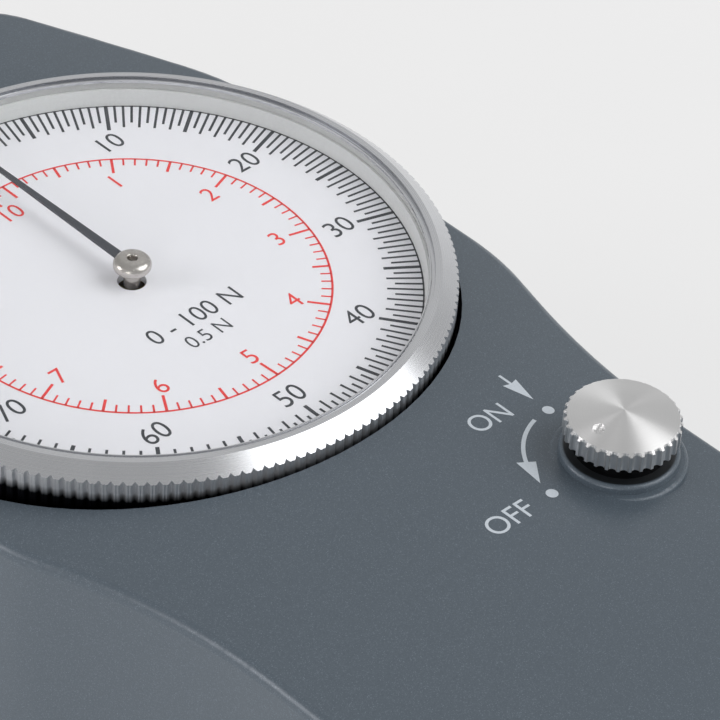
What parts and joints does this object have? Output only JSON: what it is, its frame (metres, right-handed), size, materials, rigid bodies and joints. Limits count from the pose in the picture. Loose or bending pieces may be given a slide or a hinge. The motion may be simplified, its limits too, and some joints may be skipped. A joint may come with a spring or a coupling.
{
  "type": "force gauge",
  "caption": "Analog push-pull force gauge with a round dial, toothed turning bezel, sprung measuring shaft with threaded tip, and a fluted peak hold knob.",
  "frame": {"origin": "bottom centre of the bounding box, on the flat rear face that the gauge lies on", "axes": "+X to the gauge's right seen from the dial, +Y along the measuring shaft towards its threaded end, +Z out of the dial"},
  "size_m": [0.059, 0.226, 0.0485],
  "materials": {
    "housing_paint": "satin dark teal grey paint with a fine grain",
    "turned_aluminium": "turned",
    "cast_aluminium": "cast",
    "ground_steel": "ground",
    "spring_steel": "oiled",
    "plated_steel": "nickel plated",
    "brass": "turned",
    "dial_enamel": "matt white",
    "pointer_paint": "matt slate",
    "clear_lens": "polished",
    "pad_rubber": "matt"
  },
  "bodies": {
    "housing": {"front_housing": "housing_paint", "rear_cover": "housing_paint", "housing_screws": "plated_steel", "nose_bush": "brass", "tail_insert": "brass", "mount_inserts": "brass", "chassis": "cast_aluminium", "chassis_screws": "plated_steel", "shaft_bushes": "brass", "guide_rod": "ground_steel", "movement_plate": "brass", "movement_pillars": "ground_steel", "movement_screws": "plated_steel", "bridge_plate": "brass", "bridge_pillars": "ground_steel", "bridge_screws": "plated_steel", "arbor_bushes": "brass", "hairspring_stud": "ground_steel", "hairspring": "spring_steel", "snap_ring": "ground_steel", "friction_washer": "spring_steel", "knob_bush": "brass", "lever_post": "ground_steel", "upper_spring": "spring_steel", "lower_spring": "spring_steel"},
    "shaft": {"measuring_shaft": "ground_steel", "lock_nut": "plated_steel", "drive_block": "cast_aluminium", "rack": "ground_steel", "rack_screws": "plated_steel", "spring_collar": "brass", "set_screw": "plated_steel"},
    "idler": {"idler_arbor": "ground_steel", "rack_pinion": "brass", "idler_gear": "brass"},
    "pointer_train": {"pointer_arbor": "ground_steel", "centre_pinion": "brass", "hairspring_collet": "brass", "pointer": "pointer_paint", "pointer_hub": "plated_steel"},
    "bezel_group": {"bezel": "turned_aluminium", "dial_plate": "dial_enamel", "spacer_ring": "turned_aluminium", "lens": "clear_lens", "lens_retainer": "turned_aluminium"},
    "knob_group": {"knob": "turned_aluminium", "knob_shaft": "ground_steel", "knob_clip": "ground_steel", "hold_cam": "ground_steel", "cam_screw": "plated_steel"},
    "lever": {"hold_lever": "plated_steel", "brake_pad": "pad_rubber", "lever_spring": "spring_steel"}
  },
  "joints": [
    {"name": "shaft_slide", "type": "slide", "parent": "housing", "child": "shaft", "axis": [0, 1, 0], "range_m": [-0.01005, 0.01005], "stiffness_N_per_m": 9950, "deforming": ["upper_spring", "lower_spring"]},
    {"name": "idler_spin", "type": "hinge", "parent": "housing", "child": "idler", "pos_m": [-0.011, 0.0228, 0.03], "axis": [0, 0, 1], "range_deg": [-92, 92]},
    {"name": "pointer_spin", "type": "hinge", "parent": "housing", "child": "pointer_train", "pos_m": [0, 0.033, 0.043], "axis": [0, 0, 1], "range_deg": [-361, 361]},
    {"name": "bezel_turn", "type": "hinge", "parent": "housing", "child": "bezel_group", "pos_m": [0, 0.033, 0.043], "axis": [0, 0, 1], "continuous": true},
    {"name": "knob_turn", "type": "hinge", "parent": "housing", "child": "knob_group", "pos_m": [0.01543, -0.01097, 0.045], "axis": [0, 0, 1], "range_deg": [-90, 0]},
    {"name": "lever_swing", "type": "hinge", "parent": "housing", "child": "lever", "pos_m": [-0.00648, 0.00403, 0.032], "axis": [0, 0, 1], "range_deg": [-0.1, 3.1]}
  ],
  "couplings": [
    {"joint": "idler_spin", "follows": "shaft_slide", "rad_per_m": 156.25},
    {"joint": "pointer_spin", "follows": "shaft_slide", "rad_per_m": -625},
    {"joint": "lever_swing", "follows": "knob_turn", "ratio": -0.033333}
  ]
}
